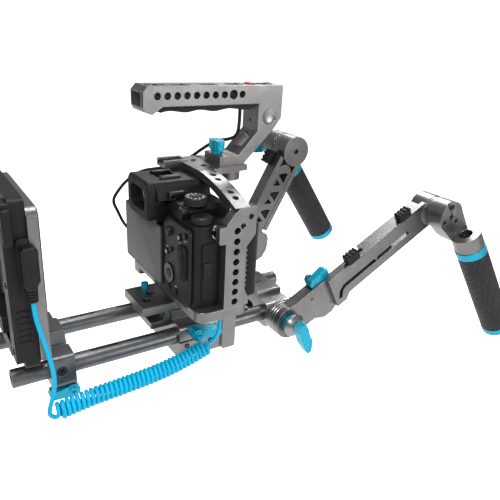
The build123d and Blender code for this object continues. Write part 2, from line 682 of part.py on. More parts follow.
# ---------------------------------------------------------------- top handle
BLOCK_Z0, BLOCK_Z1 = TOP_Z1, 174.0
BLOCK_REAR = 24.0
POST_REAR = 61.0
HANDLE_KNOB = (0.0, 27.5)
HOLE_ROW_Z, HOLE_ROW_FIRST, HOLE_ROW_PITCH, HOLE_ROW_COUNT = 226.0, -33.5, 8.6, 10
with BuildPart() as handle_body:
    with BuildSketch(along(-HANDLE_HALF)):
        with BuildLine():
            Polyline((HANDLE_REAR, 214), (HANDLE_REAR - 1.5, 218), (HANDLE_REAR - 1.5, 229),
                     (HANDLE_REAR + 2.5, HANDLE_TOP), (HANDLE_FRONT, HANDLE_TOP - 0.8), (HANDLE_FRONT, 205),
                     (77.5, 194.5), (48, BLOCK_Z0), (BLOCK_REAR, BLOCK_Z0), (BLOCK_REAR, BLOCK_Z1),
                     (42.8, BLOCK_Z1), (POST_REAR, 193.5), (POST_REAR, HANDLE_UNDER), (-31, HANDLE_UNDER),
                     (-38, 212), (HANDLE_REAR, 214))
        make_face()
        with Locations(*[(HOLE_ROW_FIRST + HOLE_ROW_PITCH * n, HOLE_ROW_Z) for n in range(HOLE_ROW_COUNT)]):
            Circle(2.9, mode=Mode.SUBTRACT)
        with Locations((HOLE_ROW_FIRST + HOLE_ROW_PITCH * 8, HOLE_ROW_Z)):
            Circle(3.9, mode=Mode.SUBTRACT)
    extrude(amount=2 * HANDLE_HALF)
    chamfer(handle_body.edges().filter_by(Axis.Y).group_by(Axis.Z)[-1], 1.5)
    with BuildSketch(Plane((0, 54, 186), x_dir=(1, 0, 0), z_dir=(0, -0.73, 0.683))):
        RectangleRounded(13, 15, 2)
    extrude(amount=14, both=True, mode=Mode.SUBTRACT)
    with BuildSketch(along(HANDLE_HALF)):
        with Locations((73, 206)):
            Circle(7.4)
    extrude(amount=-2.2, mode=Mode.SUBTRACT)
    with BuildSketch(across(POST_REAR)):
        with Locations((0, 202)):
            Circle(1.4)
    extrude(amount=-5, mode=Mode.SUBTRACT)
    with BuildSketch(level(HANDLE_TOP)):
        with Locations(*[(0, y) for y in (-31, -8, 17, 42, 73)]):
            SlotOverall(18, 9, rotation=90)
    extrude(amount=-2.4, mode=Mode.SUBTRACT)
    with BuildSketch(level(HANDLE_TOP)):
        with Locations((0, 58)):
            Circle(4.2 + RUN_FIT)
    extrude(amount=-7, mode=Mode.SUBTRACT)
    with BuildSketch(level(BLOCK_Z1)):
        with Locations(HANDLE_KNOB):
            Circle(3.0 + RUN_FIT)
    extrude(amount=-8, mode=Mode.SUBTRACT)
save(handle_body, "handle_body")

with BuildPart() as handle_rubber:
    with BuildSketch(along(-HANDLE_HALF + 1)):
        with BuildLine():
            Line((-30.5, HANDLE_UNDER - 0.02), (58, HANDLE_UNDER - 0.02))
            Line((58, HANDLE_UNDER - 0.02), (58, 214.6))
            Spline((58, 214.6), (44, 213.2), (31, 214.6), (17, 212.8), (4, 214.4), (-8, 212.8), (-20, 214.2),
                   (-30.5, 213.2))
            Line((-30.5, 213.2), (-30.5, HANDLE_UNDER - 0.02))
        make_face()
    extrude(amount=2 * HANDLE_HALF - 2)
    with BuildSketch(level(HANDLE_UNDER)):
        with Locations(TRIGGER_ROUTE[0][:2]):
            Circle(CABLE_D / 2 + 0.1)
    extrude(amount=-6, mode=Mode.SUBTRACT)
save(handle_rubber, "handle_rubber")

with BuildPart() as record_button:
    with BuildSketch(level(HANDLE_TOP - 5)):
        with Locations((0, 58)):
            Circle(4.2)
    extrude(amount=6)
    fillet(record_button.faces().sort_by(Axis.Z)[-1].edges(), 0.8)
save(record_button, "record_button")

with BuildPart() as handle_clamp:
    with BuildSketch(along(-HANDLE_HALF - 4)):
        with Locations((35.5, middle(TOP_Z1, BLOCK_Z1))):
            RectangleRounded(22, BLOCK_Z1 - TOP_Z1 - 1, 1.5)
    extrude(amount=4 - 0.02)
save(handle_clamp, "handle_clamp")

with BuildPart() as handle_knob:
    with BuildSketch(level(BLOCK_Z1 + GAP)):
        with Locations(HANDLE_KNOB):
            Circle(5.0)
    extrude(amount=3.6)
    with BuildSketch(level(BLOCK_Z1 + GAP + 3.6)):
        with Locations(HANDLE_KNOB):
            RectangleRounded(17, 8.6, 3)
            Circle(5.8)
    extrude(amount=8.4)
    with BuildSketch(level(BLOCK_Z1 + GAP)):
        with Locations(HANDLE_KNOB):
            Circle(3.0)
    extrude(amount=-7)
save(handle_knob, "handle_knob")

make_cord(TRIGGER_ROUTE, CABLE_D, "trigger_cable")

with BuildPart() as trigger_plug:
    with BuildSketch(Plane((BODY_X0, *TRIGGER_ROUTE[-1][1:]), z_dir=(-1, 0, 0))):
        Circle(3.4)
    extrude(amount=BODY_X0 - TRIGGER_ROUTE[-1][0])
save(trigger_plug, "trigger_plug")

# ---------------------------------------------------------------- front clamp with its rosettes
FRONT_Y0, FRONT_Y1 = 66.0, 94.0
ROSETTE_SPLIT = 44.5         # where the fixed rosette meets the arm's


def rosette_grooves(plane, depth):
    """What is cut from a rosette's face to leave its radial teeth."""
    with BuildPart() as grooves:
        with BuildSketch(plane):
            with PolarLocations(ROSETTE_R - 2, 36):
                Rectangle(6, 1.0)
        extrude(amount=depth)
    return grooves.part


with BuildPart() as front_clamp:
    with BuildSketch(across(FRONT_Y0)):
        with Locations((0, ROD_Z)):
            RectangleRounded(2 * CLAMP_X, 25, 5)
        with Locations((0, ROD_Z + 12)):
            RectangleRounded(44, 12, 2)
        with Locations((-ROD_X, ROD_Z), (ROD_X, ROD_Z)):
            Circle(ROD_D / 2 + RUN_FIT, mode=Mode.SUBTRACT)
        with Locations((0, ROD_Z - 1)):
            SlotOverall(32, 9, mode=Mode.SUBTRACT)
    extrude(amount=FRONT_Y0 - FRONT_Y1)
    for side in (-1, 1):
        with BuildSketch(Plane((side * CLAMP_X, PIVOT_Y, PIVOT_Z), z_dir=(side, 0, 0))):
            Circle(ROSETTE_R)
            Circle(4.2, mode=Mode.SUBTRACT)
        extrude(amount=ROSETTE_SPLIT - CLAMP_X - GAP / 2)
        rosette_face = Plane((side * (ROSETTE_SPLIT - GAP / 2), PIVOT_Y, PIVOT_Z), z_dir=(side, 0, 0))
        add(rosette_grooves(rosette_face, -0.9), mode=Mode.SUBTRACT)
    with BuildSketch(level(ROD_Z + 18)):
        with Locations((0, PIVOT_Y)):
            Circle(4.2)
    extrude(amount=-3.5, mode=Mode.SUBTRACT)
    with BuildSketch(level(ROD_Z + 18 - 3.5)):
        with Locations((0, PIVOT_Y)):
            Circle(3.9)
            RegularPolygon(2.2, 6, mode=Mode.SUBTRACT)
    extrude(amount=3)
save(front_clamp, "front_clamp")


# ---------------------------------------------------------------- arms and grips
def arm_frame(arm, reach):
    """Upright plane of one arm: x along the arm, y towards its upper edge."""
    heading = math.radians(arm["pitch"])
    return Plane((arm["side"] * reach, PIVOT_Y, PIVOT_Z),
                 x_dir=(0, math.cos(heading), math.sin(heading)), z_dir=(1, 0, 0))


def top_joint(arm):
    """Y and Z of an arm's upper joint."""
    heading = math.radians(arm["pitch"])
    return (PIVOT_Y + arm["length"] * math.cos(heading), PIVOT_Z + arm["length"] * math.sin(heading))


def bracket_frame(arm, reach):
    """Upright plane at the upper joint: x down the grip, y towards the front."""
    heading = math.radians(arm["grip"])
    return Plane((arm["side"] * reach, *top_joint(arm)),
                 x_dir=(0, math.cos(heading), -math.sin(heading)), z_dir=(1, 0, 0))


def grip_frame(arm, distance):
    """Plane square to the grip's axis, `distance` along it from the top of the rubber."""
    side, heading, lean = arm["side"], math.radians(arm["grip"]), math.radians(arm["splay"])
    joint_y, joint_z = top_joint(arm)
    down = Vector(0, math.cos(heading), -math.sin(heading))
    ahead = Vector(0, math.sin(heading), math.cos(heading))
    axis = down * math.cos(lean) + Vector(side * math.sin(lean), 0, 0)
    start = Vector(side * GRIP_X, joint_y, joint_z) + down * arm["start"] + ahead * arm["offset"]
    return Plane(start + axis * distance, x_dir=ahead, z_dir=axis)


def make_arm_bar(name, arm):
    """Base housing with its rosette, hip and the slotted bar that the channel slides on."""
    side = arm["side"]
    with BuildPart() as bar:
        with BuildSketch(arm_frame(arm, ROSETTE_SPLIT + GAP / 2)):
            Circle(ROSETTE_R)
        extrude(amount=side * (ARM_X - ROSETTE_SPLIT - GAP / 2))
        add(rosette_grooves(arm_frame(arm, ROSETTE_SPLIT + GAP / 2), side * 0.9), mode=Mode.SUBTRACT)
        with BuildSketch(arm_frame(arm, ARM_X)):
            Circle(ROSETTE_R)
            with BuildLine():
                Polyline((-2, ROSETTE_R - 0.4), (14, ARM_HALF), (60, ARM_HALF), (60, -15.5), (56, -20),
                         (45, -24.5), (35, -24), (25, -17), (-2, -ROSETTE_R + 0.4), (-2, ROSETTE_R - 0.4))
            make_face()
        extrude(amount=side * HOUSING_T)
        fillet(bar.edges().filter_by(Axis.X).group_by(Axis.Z)[0], 1.0)
        with BuildSketch(arm_frame(arm, ARM_X + 2.3)):
            with BuildLine():
                Polyline((58, BAR_HALF), (BAR_END - BAR_HALF, BAR_HALF))
                ThreePointArc((BAR_END - BAR_HALF, BAR_HALF), (BAR_END, 0), (BAR_END - BAR_HALF, -BAR_HALF))
                Polyline((BAR_END - BAR_HALF, -BAR_HALF), (58, -BAR_HALF), (58, BAR_HALF))
            make_face()
            for bay in range(3):
                start = 66 + 22 * bay
                with BuildLine():
                    Polyline((start, 6), (start + 9, 6), (start + 4.5, -3.5), (start, 6))
                make_face(mode=Mode.SUBTRACT)
                with BuildLine():
                    Polyline((start + 8, -6), (start + 20, -6), (start + 18, 0), (start + 13.5, 6), (start + 8, -6))
                make_face(mode=Mode.SUBTRACT)
        extrude(amount=side * 9.4)
        with BuildSketch(arm_frame(arm, ARM_X + 11.7)):
            with Locations((110.5, -3)):
                Circle(1.7)
        extrude(amount=side * 4.4)
        with BuildSketch(arm_frame(arm, ARM_X + LUG_T)):
            with Locations((47, 14)):
                Rectangle(27, 6)
        extrude(amount=side * 8.4, mode=Mode.SUBTRACT)
        with BuildSketch(arm_frame(arm, ARM_X)):
            with Locations(SLIDE_PIVOT):
                SlotOverall(15, 9.0, rotation=90)
        extrude(amount=side * LUG_T)
        with BuildSketch(arm_frame(arm, ARM_X + LUG_T)):
            with Locations(SLIDE_PIVOT):
                Circle(1.8)
        extrude(amount=side * 7.7)
        with BuildSketch(arm_frame(arm, ROSETTE_SPLIT)):
            Circle(4.0 + RUN_FIT)
        extrude(amount=side * 30, mode=Mode.SUBTRACT)
        with BuildSketch(arm_frame(arm, ARM_X + HOUSING_T)):
            with BuildLine() as groove:
                Polyline((57, -13), (60.5, -4.5))
            trace(line_width=4)
            with Locations((48, -13), (30, 6)):
                Circle(1.5)
        extrude(amount=-side * 1.2, mode=Mode.SUBTRACT)
    save(bar, name)


def make_arm_channel(name, arm):
    """Sliding channel: outer plate with its long slot, two flanges and the upper joint."""
    side, end = arm["side"], arm["length"]
    with BuildPart() as channel:
        with BuildSketch(arm_frame(arm, CHANNEL_X0)):
            with BuildLine():
                Polyline((end - 142, ARM_HALF), (end, ARM_HALF), (end, -ARM_HALF), (end - 124, -ARM_HALF),
                         (end - 130, -20), (end - 142, -20), (end - 142, ARM_HALF))
            make_face()
            with BuildLine():
                Polyline((end - 36, -3), (end - 127, -3), (end - 132.5, -6), (end - 136, -13))
            trace(line_width=4.4, mode=Mode.SUBTRACT)
            with Locations((end, 0)):
                Circle(ROSETTE_R)
        extrude(amount=side * (CHANNEL_X1 - CHANNEL_X0))
        with BuildSketch(arm_frame(arm, ARM_X + 2)):
            with Locations((end - 51.5, middle(ARM_HALF, BAR_HALF + 0.4)), (end - 51.5, -middle(ARM_HALF, BAR_HALF + 0.4))):
                Rectangle(79, ARM_HALF - BAR_HALF - 0.4)
        extrude(amount=side * (CHANNEL_X0 - ARM_X - 2 + 0.5))
        with BuildSketch(arm_frame(arm, ARM_X)):
            with Locations((end, 0)):
                Circle(ROSETTE_R)
        extrude(amount=side * (TOP_JOINT_X - 3 - ARM_X))
        with BuildSketch(arm_frame(arm, TOP_JOINT_X - 3)):
            with Locations((end, 0)):
                Circle(ROSETTE_R - 0.6)
        extrude(amount=side * (3 - GAP))
        joint_face = Plane((side * (TOP_JOINT_X - GAP), *top_joint(arm)), z_dir=(1, 0, 0))
        add(rosette_grooves(joint_face, -side * 0.9), mode=Mode.SUBTRACT)
        with BuildSketch(arm_frame(arm, ARM_X)):
            with Locations((end, 0)):
                RegularPolygon(3.2, 6)
        extrude(amount=side * 5, mode=Mode.SUBTRACT)
    save(channel, name)


def make_rosette_lever(name, plane, side, shaft_length, heading, collar=0.0):
    """A rosette's clamp lever: shaft, collar, dome washer and a blade; the plane faces +X at the shaft's end."""
    with BuildPart() as lever:
        with BuildSketch(plane):
            Circle(4.0)
        extrude(amount=side * shaft_length)
        base = plane.offset(side * shaft_length)
        if collar > 0:
            with BuildSketch(base):
                Circle(9.0)
            extrude(amount=-side * collar)
        with BuildSketch(base):
            Circle(11.0)
        with BuildSketch(base.offset(side * 5.5)):
            Circle(6.0)
        loft()
        with BuildSketch(base.offset(side * 5.5)):
            Circle(5.4)
        extrude(amount=side * 3)
        blade = Plane(base.offset(side * 8.0).origin, x_dir=heading, z_dir=(1, 0, 0))
        with BuildSketch(blade):
            with BuildLine():
                Polyline((-8, 3.8), (-2, 5.4), (8, 5.0), (13, 6.6), (24, 2.2), (25, -2.6), (11, -5.6), (-2, -5.4),
                         (-8, -3.8), (-8, 3.8))
            make_face()
        extrude(amount=side * 9)
        fillet(lever.edges().filter_by(Axis.X).sort_by(SortBy.LENGTH)[-4:], 1.2)
    save(lever, name)


def make_slide_lever(name, arm):
    """Cam lever that locks the channel on the bar."""
    side = arm["side"]
    with BuildPart() as lever:
        with BuildSketch(arm_frame(arm, ARM_X + LUG_T + GAP)):
            with Locations(SLIDE_PIVOT):
                Circle(5.2)
            with BuildLine():
                Polyline((40, 22.2), (55, 24.6), (58, 22.5), (58, 12.6), (47, 11.7), (40, 11.8), (40, 22.2))
            make_face()
            with Locations(SLIDE_PIVOT):
                Circle(1.8 + RUN_FIT, mode=Mode.SUBTRACT)
        extrude(amount=side * 7.5)
    save(lever, name)


def make_cable_clips(name, arm):
    """Two ribbed rubber cable clips on the channel's upper edge."""
    side, end = arm["side"], arm["length"]
    with BuildPart() as clips:
        for centre in (end - clip for clip in arm["clips"]):
            with BuildSketch(arm_frame(arm, ARM_X + 10.6)):
                with Locations((centre, ARM_HALF + 5)):
                    RectangleRounded(15, 10, 1.5)
            extrude(amount=side * 8)
            with BuildSketch(arm_frame(arm, ARM_X + 10.6)):
                with Locations(*[(centre + x, ARM_HALF + 10) for x in (-4.5, 0, 4.5)]):
                    Rectangle(1.6, 2.4)
            extrude(amount=side * 8, mode=Mode.SUBTRACT)
    save(clips, name)


def make_grip_bracket(name, arm):
    """Upper joint's outer half, the boss that holds the grip, and the grip's spindle."""
    side = arm["side"]
    with BuildPart() as bracket:
        with BuildSketch(bracket_frame(arm, TOP_JOINT_X)):
            Circle(ROSETTE_R - 0.6)
        extrude(amount=side * 3)
        with BuildSketch(bracket_frame(arm, TOP_JOINT_X + 3)):
            Circle(ROSETTE_R)
            with BuildLine():
                Polyline((2, ROSETTE_R - 0.2), (23, 18), (32, 16), (32, -3), (23, -8), (2, -ROSETTE_R + 0.2),
                         (2, ROSETTE_R - 0.2))
            make_face()
        extrude(amount=side * (BRACKET_X1 - TOP_JOINT_X - 3))
        add(rosette_grooves(bracket_frame(arm, TOP_JOINT_X), side * 0.9), mode=Mode.SUBTRACT)
        with BuildSketch(grip_frame(arm, -24)):
            Circle(GRIP_R - 0.5)
        extrude(amount=16)
        with BuildSketch(grip_frame(arm, -24)):
            Circle(7.0)
        extrude(amount=-40, mode=Mode.SUBTRACT)
        with BuildSketch(grip_frame(arm, -24)):
            Circle(7.0)
        extrude(amount=9, mode=Mode.SUBTRACT)
        with BuildSketch(grip_frame(arm, -8)):
            Circle(6.0)
        extrude(amount=GRIP_LENGTH + 10)
        with BuildSketch(bracket_frame(arm, BRACKET_X1)):
            if side > 0:
                with PolarLocations(10, 3, start_angle=30):
                    Circle(2.6)
            Circle(arm["lock_hole"])
        extrude(amount=-side * 3, mode=Mode.SUBTRACT)
    save(bracket, name)


def make_grip_screws(name, arm):
    """The socket bolt in the grip's boss, and on the right the upper joint's bolt and three cap screws."""
    side = arm["side"]
    with BuildPart() as screws:
        if side > 0:
            with BuildSketch(bracket_frame(arm, BRACKET_X1 - 3)):
                with PolarLocations(10, 3, start_angle=30):
                    Circle(2.4)
                    RegularPolygon(1.3, 6, mode=Mode.SUBTRACT)
                Circle(3.2)
                RegularPolygon(1.9, 6, mode=Mode.SUBTRACT)
            extrude(amount=side * 2.4)
        with BuildSketch(grip_frame(arm, -15)):
            Circle(5.8)
            RegularPolygon(3.4, 6, mode=Mode.SUBTRACT)
        extrude(amount=-5)
    save(screws, name)


def make_grip_sleeve(name, arm):
    with BuildPart() as sleeve:
        with BuildSketch(grip_frame(arm, 0)):
            Circle(GRIP_R)
            Circle(6.0 + FIT, mode=Mode.SUBTRACT)
        extrude(amount=GRIP_LENGTH)
        fillet(sleeve.edges().filter_by(GeomType.CIRCLE).sort_by(SortBy.RADIUS)[-2:], 0.8)
    save(sleeve, name)


def make_grip_rings(name, arm):
    """Blue end rings of a grip; the lower one is a closed cap."""
    with BuildPart() as rings:
        with BuildSketch(grip_frame(arm, -GRIP_RING)):
            Circle(GRIP_R + 0.2)
            Circle(6.0 + FIT, mode=Mode.SUBTRACT)
        extrude(amount=GRIP_RING - 0.02)
        with BuildSketch(grip_frame(arm, GRIP_LENGTH + 0.02)):
            Circle(GRIP_R + 0.2)
        extrude(amount=GRIP_RING)
        with BuildSketch(grip_frame(arm, GRIP_LENGTH)):
            Circle(6.0 + FIT)
        extrude(amount=3, mode=Mode.SUBTRACT)
        chamfer(rings.edges().filter_by(GeomType.CIRCLE).sort_by(Axis.Z)[:1], 1.5)
    save(rings, name)


for arm_name, arm in ARMS.items():
    side = arm["side"]
    make_arm_bar(f"{arm_name}_arm_bar", arm)
    make_arm_channel(f"{arm_name}_arm_channel", arm)
    make_rosette_lever(f"{arm_name}_rosette_lever", arm_frame(arm, ROSETTE_SPLIT + 0.5), side,
                       CHANNEL_X1 + GAP - ROSETTE_SPLIT - 0.5, (0, 0.35, -0.94),
                       collar=CHANNEL_X1 - ARM_X - HOUSING_T)
    make_slide_lever(f"{arm_name}_slide_lever", arm)
    make_cable_clips(f"{arm_name}_cable_clips", arm)
    make_grip_bracket(f"{arm_name}_grip_bracket", arm)
    make_grip_screws(f"{arm_name}_grip_screws", arm)
    make_grip_sleeve(f"{arm_name}_grip_sleeve", arm)
    make_grip_rings(f"{arm_name}_grip_rings", arm)

make_rosette_lever("left_lock_lever",
                   Plane((-BRACKET_X1 + 2.7, *top_joint(ARMS["left"])), x_dir=(0, 1, 0), z_dir=(1, 0, 0)),
                   -1, 3.0, (0, -0.94, -0.34))
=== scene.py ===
"""Looks of the cinema camera rig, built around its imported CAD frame."""

import json
import math

import bmesh
import bpy
from mathutils import Matrix, Vector


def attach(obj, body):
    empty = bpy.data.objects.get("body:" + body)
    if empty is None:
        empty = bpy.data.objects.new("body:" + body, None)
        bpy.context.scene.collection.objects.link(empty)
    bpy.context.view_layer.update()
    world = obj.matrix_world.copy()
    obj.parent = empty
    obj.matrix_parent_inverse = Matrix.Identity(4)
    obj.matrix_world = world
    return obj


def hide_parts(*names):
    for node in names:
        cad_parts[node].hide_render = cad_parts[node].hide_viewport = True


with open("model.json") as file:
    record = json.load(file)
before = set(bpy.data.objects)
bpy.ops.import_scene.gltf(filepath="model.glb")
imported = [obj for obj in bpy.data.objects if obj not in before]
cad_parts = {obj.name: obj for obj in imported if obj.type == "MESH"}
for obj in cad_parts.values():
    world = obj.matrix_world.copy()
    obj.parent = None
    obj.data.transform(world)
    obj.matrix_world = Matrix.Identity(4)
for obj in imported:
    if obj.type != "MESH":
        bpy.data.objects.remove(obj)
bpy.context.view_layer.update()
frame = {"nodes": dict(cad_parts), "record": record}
nodes = frame["nodes"]
MM = 0.001
SHARP_EDGE = math.radians(35)
TINT_SCALE = 60.0                                        # patches of colour per metre
RUB_STARTS, RUB_FULL, RUB_MOST = 0.96, 0.8, 0.6          # how far an edge must turn before it looks rubbed
BACK, RIGHT, LEFT, UP, FRONT = (0, -1, 0), (1, 0, 0), (-1, 0, 0), (0, 0, 1), (0, 1, 0)


# ---------------------------------------------------------------- materials
def new_node(tree, kind, **values):
    node = tree.nodes.new(kind)
    for name, value in values.items():
        setattr(node, name, value)
    return node


def noise(tree, coords, scale, detail):
    node = new_node(tree, "ShaderNodeTexNoise")
    node.inputs["Scale"].default_value = scale
    node.inputs["Detail"].default_value = detail
    tree.links.new(coords.outputs["Object"], node.inputs["Vector"])
    return node.outputs["Fac"]


def voronoi(tree, coords, scale, feature="F1", randomness=1.0):
    node = new_node(tree, "ShaderNodeTexVoronoi", feature=feature)
    node.inputs["Scale"].default_value = scale
    node.inputs["Randomness"].default_value = randomness
    tree.links.new(coords.outputs["Object"], node.inputs["Vector"])
    return node.outputs["Distance"]


def remap(tree, value, low, high, to_low, to_high):
    node = new_node(tree, "ShaderNodeMapRange")
    node.inputs["From Min"].default_value = low
    node.inputs["From Max"].default_value = high
    node.inputs["To Min"].default_value = to_low
    node.inputs["To Max"].default_value = to_high
    tree.links.new(value, node.inputs["Value"])
    return node.outputs["Result"]


def colour_socket(sockets, name):
    return next(socket for socket in sockets if socket.type == "RGBA" and socket.name == name)


def blend_colours(tree, factor, first, second):
    """Mix of two colours; `first` may be a colour or another node's output."""
    node = new_node(tree, "ShaderNodeMix", data_type="RGBA")
    tree.links.new(factor, node.inputs["Factor"])
    if isinstance(first, tuple):
        colour_socket(node.inputs, "A").default_value = (*first, 1)
    else:
        tree.links.new(first, colour_socket(node.inputs, "A"))
    colour_socket(node.inputs, "B").default_value = (*second, 1)
    return colour_socket(node.outputs, "Result")


def surface(name, base, other, roughness, metallic=0.0, spread=0.06, grain=None, edge=0.35, worn=None,
            **inputs):
    """A procedural finish.

    base, other: the colour and what it drifts to
    spread: how far the roughness drifts
    grain: list of (kind, scale per metre, depth in mm)
    edge: radius of the softened edges in mm
    worn: colour of rubbed edges
    inputs: other sockets of the shader, with _ for each space
    """
    mat = bpy.data.materials.new(name)
    mat.use_nodes = True
    tree = mat.node_tree
    shader = tree.nodes["Principled BSDF"]
    shader.inputs["Metallic"].default_value = metallic
    for key, value in inputs.items():
        shader.inputs[key.replace("_", " ")].default_value = value
    coords = new_node(tree, "ShaderNodeTexCoord")
    drift = remap(tree, noise(tree, coords, TINT_SCALE, 5), 0.35, 0.65, 0.0, 1.0)
    colour = blend_colours(tree, drift, base, other)
    rounded = new_node(tree, "ShaderNodeBevel", samples=8)
    rounded.inputs["Radius"].default_value = edge * MM
    if worn is not None:
        flat = new_node(tree, "ShaderNodeNewGeometry")
        dot = new_node(tree, "ShaderNodeVectorMath", operation="DOT_PRODUCT")
        tree.links.new(rounded.outputs["Normal"], dot.inputs[0])
        tree.links.new(flat.outputs["Normal"], dot.inputs[1])
        rubbed = remap(tree, dot.outputs["Value"], RUB_STARTS, RUB_FULL, 0.0, RUB_MOST)
        colour = blend_colours(tree, rubbed, colour, worn)
    tree.links.new(colour, shader.inputs["Base Color"])
    smudges = noise(tree, coords, TINT_SCALE * 6, 4)
    rough = remap(tree, smudges, 0.3, 0.7, roughness - spread, roughness + spread)
    tree.links.new(rough, shader.inputs["Roughness"])
    normal = rounded.outputs["Normal"]
    for kind, scale, depth in grain or [("noise", 1400, 0.02)]:
        if kind == "noise":
            height = noise(tree, coords, scale, 2)
        elif kind == "dots":
            height = remap(tree, voronoi(tree, coords, scale, randomness=0.25), 0.15, 0.45, 1.0, 0.0)
        else:
            height = remap(tree, voronoi(tree, coords, scale, "DISTANCE_TO_EDGE"), 0.0, 0.12, 0.0, 1.0)
        bump = new_node(tree, "ShaderNodeBump")
        bump.inputs["Strength"].default_value = 1.0
        bump.inputs["Distance"].default_value = depth * MM
        tree.links.new(height, bump.inputs["Height"])
        tree.links.new(normal, bump.inputs["Normal"])
        normal = bump.outputs["Normal"]
    tree.links.new(normal, shader.inputs["Normal"])
    return mat


BLACK = {"Specular_IOR_Level": 0.22}
LOOKS = {
    "anodised": surface("anodised", (0.2, 0.197, 0.192), (0.165, 0.163, 0.159), 0.34, 0.92,
                        grain=[("noise", 2200, 0.012)], worn=(0.6, 0.6, 0.59)),
    "black_steel": surface("black_steel", (0.02, 0.02, 0.021), (0.032, 0.032, 0.034), 0.32, 0.7,
                           grain=[("noise", 2600, 0.006)], worn=(0.16, 0.16, 0.16)),
    "blue": surface("blue", (0.0, 0.33, 0.48), (0.0, 0.28, 0.42), 0.3, 0.45, grain=[("noise", 2200, 0.01)],
                    worn=(0.12, 0.6, 0.78)),
    "black_plastic": surface("black_plastic", (0.005, 0.005, 0.0055), (0.008, 0.008, 0.0085), 0.46,
                             grain=[("noise", 1500, 0.03)], **BLACK),
    "gold": surface("gold", (0.78, 0.52, 0.17), (0.7, 0.46, 0.14), 0.25, 1.0),
    "blue_cord": surface("blue_cord", (0.0, 0.37, 0.6), (0.0, 0.34, 0.56), 0.42,
                         grain=[("noise", 900, 0.02)], **BLACK),
    "camera_black": surface("camera_black", (0.0035, 0.0035, 0.004), (0.006, 0.006, 0.0065), 0.46,
                            grain=[("noise", 2600, 0.03), ("noise", 500, 0.01)], edge=0.6, **BLACK),
    "black_rubber": surface("black_rubber", (0.006, 0.006, 0.0065), (0.01, 0.01, 0.0105), 0.6,
                            grain=[("noise", 900, 0.03)], edge=0.6, **BLACK),
    "grip_leather": surface("grip_leather", (0.0035, 0.0035, 0.004), (0.006, 0.006, 0.0065), 0.5,
                            grain=[("cells", 620, 0.16), ("noise", 2600, 0.02)], edge=0.8, **BLACK),
    "screen_glass": surface("screen_glass", (0.012, 0.012, 0.013), (0.016, 0.016, 0.017), 0.4, edge=0.5,
                            **BLACK),
    "red": surface("red", (0.6, 0.012, 0.05), (0.52, 0.01, 0.04), 0.3, Coat_Weight=0.3),
    "black_cable": surface("black_cable", (0.006, 0.006, 0.0065), (0.009, 0.009, 0.0095), 0.4,
                           grain=[("noise", 1200, 0.01)], **BLACK),
    "grip_rubber": surface("grip_rubber", (0.011, 0.009, 0.013), (0.007, 0.006, 0.009), 0.5,
                           grain=[("dots", 300, 1.6), ("noise", 2400, 0.02)], Specular_IOR_Level=0.3),
}
EXTRA = {
    "display": surface("display", (0.105, 0.107, 0.11), (0.095, 0.097, 0.1), 0.55, spread=0.02, edge=0.2,
                       grain=[("noise", 300, 0.002)]),
    "eyepiece": surface("eyepiece", (0.003, 0.003, 0.005), (0.004, 0.004, 0.007), 0.1, spread=0.02,
                        grain=[("noise", 200, 0.001)], Coat_Weight=1.0),
    "steel": surface("steel", (0.42, 0.42, 0.42), (0.35, 0.35, 0.35), 0.3, 1.0,
                     grain=[("noise", 2600, 0.006)]),
    "dark_anodised": surface("dark_anodised", (0.13, 0.135, 0.14), (0.1, 0.104, 0.108), 0.36, 0.9,
                             grain=[("noise", 2200, 0.012)], worn=(0.42, 0.42, 0.42)),
    "bright_anodised": surface("bright_anodised", (0.28, 0.278, 0.272), (0.24, 0.238, 0.234), 0.33, 0.95,
                               grain=[("noise", 2400, 0.01)], worn=(0.7, 0.7, 0.7)),
    "white_mark": surface("white_mark", (0.7, 0.7, 0.7), (0.6, 0.6, 0.6), 0.5),
    # painted shade: a near-black finish for sheets laid in recesses, standing in for the shade inside them
    "painted_slot_shade": surface("painted_slot_shade", (0.004, 0.004, 0.004), (0.006, 0.006, 0.006), 0.7, **BLACK),
}
METAL_SHADES = {"rods": "dark_anodised", "rear_clamp": "dark_anodised", "front_clamp": "bright_anodised"}


def paint(obj, mat):
    """Give every slot of a CAD piece the same material."""
    if obj.material_slots:
        for slot in obj.material_slots:
            slot.material = mat
    else:
        obj.data.materials.append(mat)


for part in frame["record"]["subparts"]:
    shade = METAL_SHADES.get(part["node"])
    paint(nodes[part["node"]], EXTRA[shade] if shade else LOOKS[part["material_slot"]])


# ---------------------------------------------------------------- mesh helpers
def add_piece(bm, name, mat, body, smooth=True):
    """Finish a bmesh, in millimetres in the row frame, as a piece that rides on a body."""
    bmesh.ops.recalc_face_normals(bm, faces=bm.faces)
    mesh = bpy.data.meshes.new(name)
    bm.to_mesh(mesh)
    bm.free()
    mesh.transform(Matrix.Scale(MM, 4))
    for polygon in mesh.polygons:
        polygon.use_smooth = smooth
    obj = bpy.data.objects.new(name, mesh)
    bpy.context.collection.objects.link(obj)
    mesh.materials.append(mat)
    if smooth:
        split = obj.modifiers.new("sharp_edges", "EDGE_SPLIT")
        split.split_angle = SHARP_EDGE
    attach(obj, body)
    return obj


def basis(normal, up=(0, 0, 1)):
    """Right, up and normal directions of a face."""
    z = Vector(normal).normalized()
    x = Vector(up).cross(z)
    if x.length < 1e-3:
        x = Vector((1, 0, 0))
    x.normalize()
    return x, z.cross(x), z


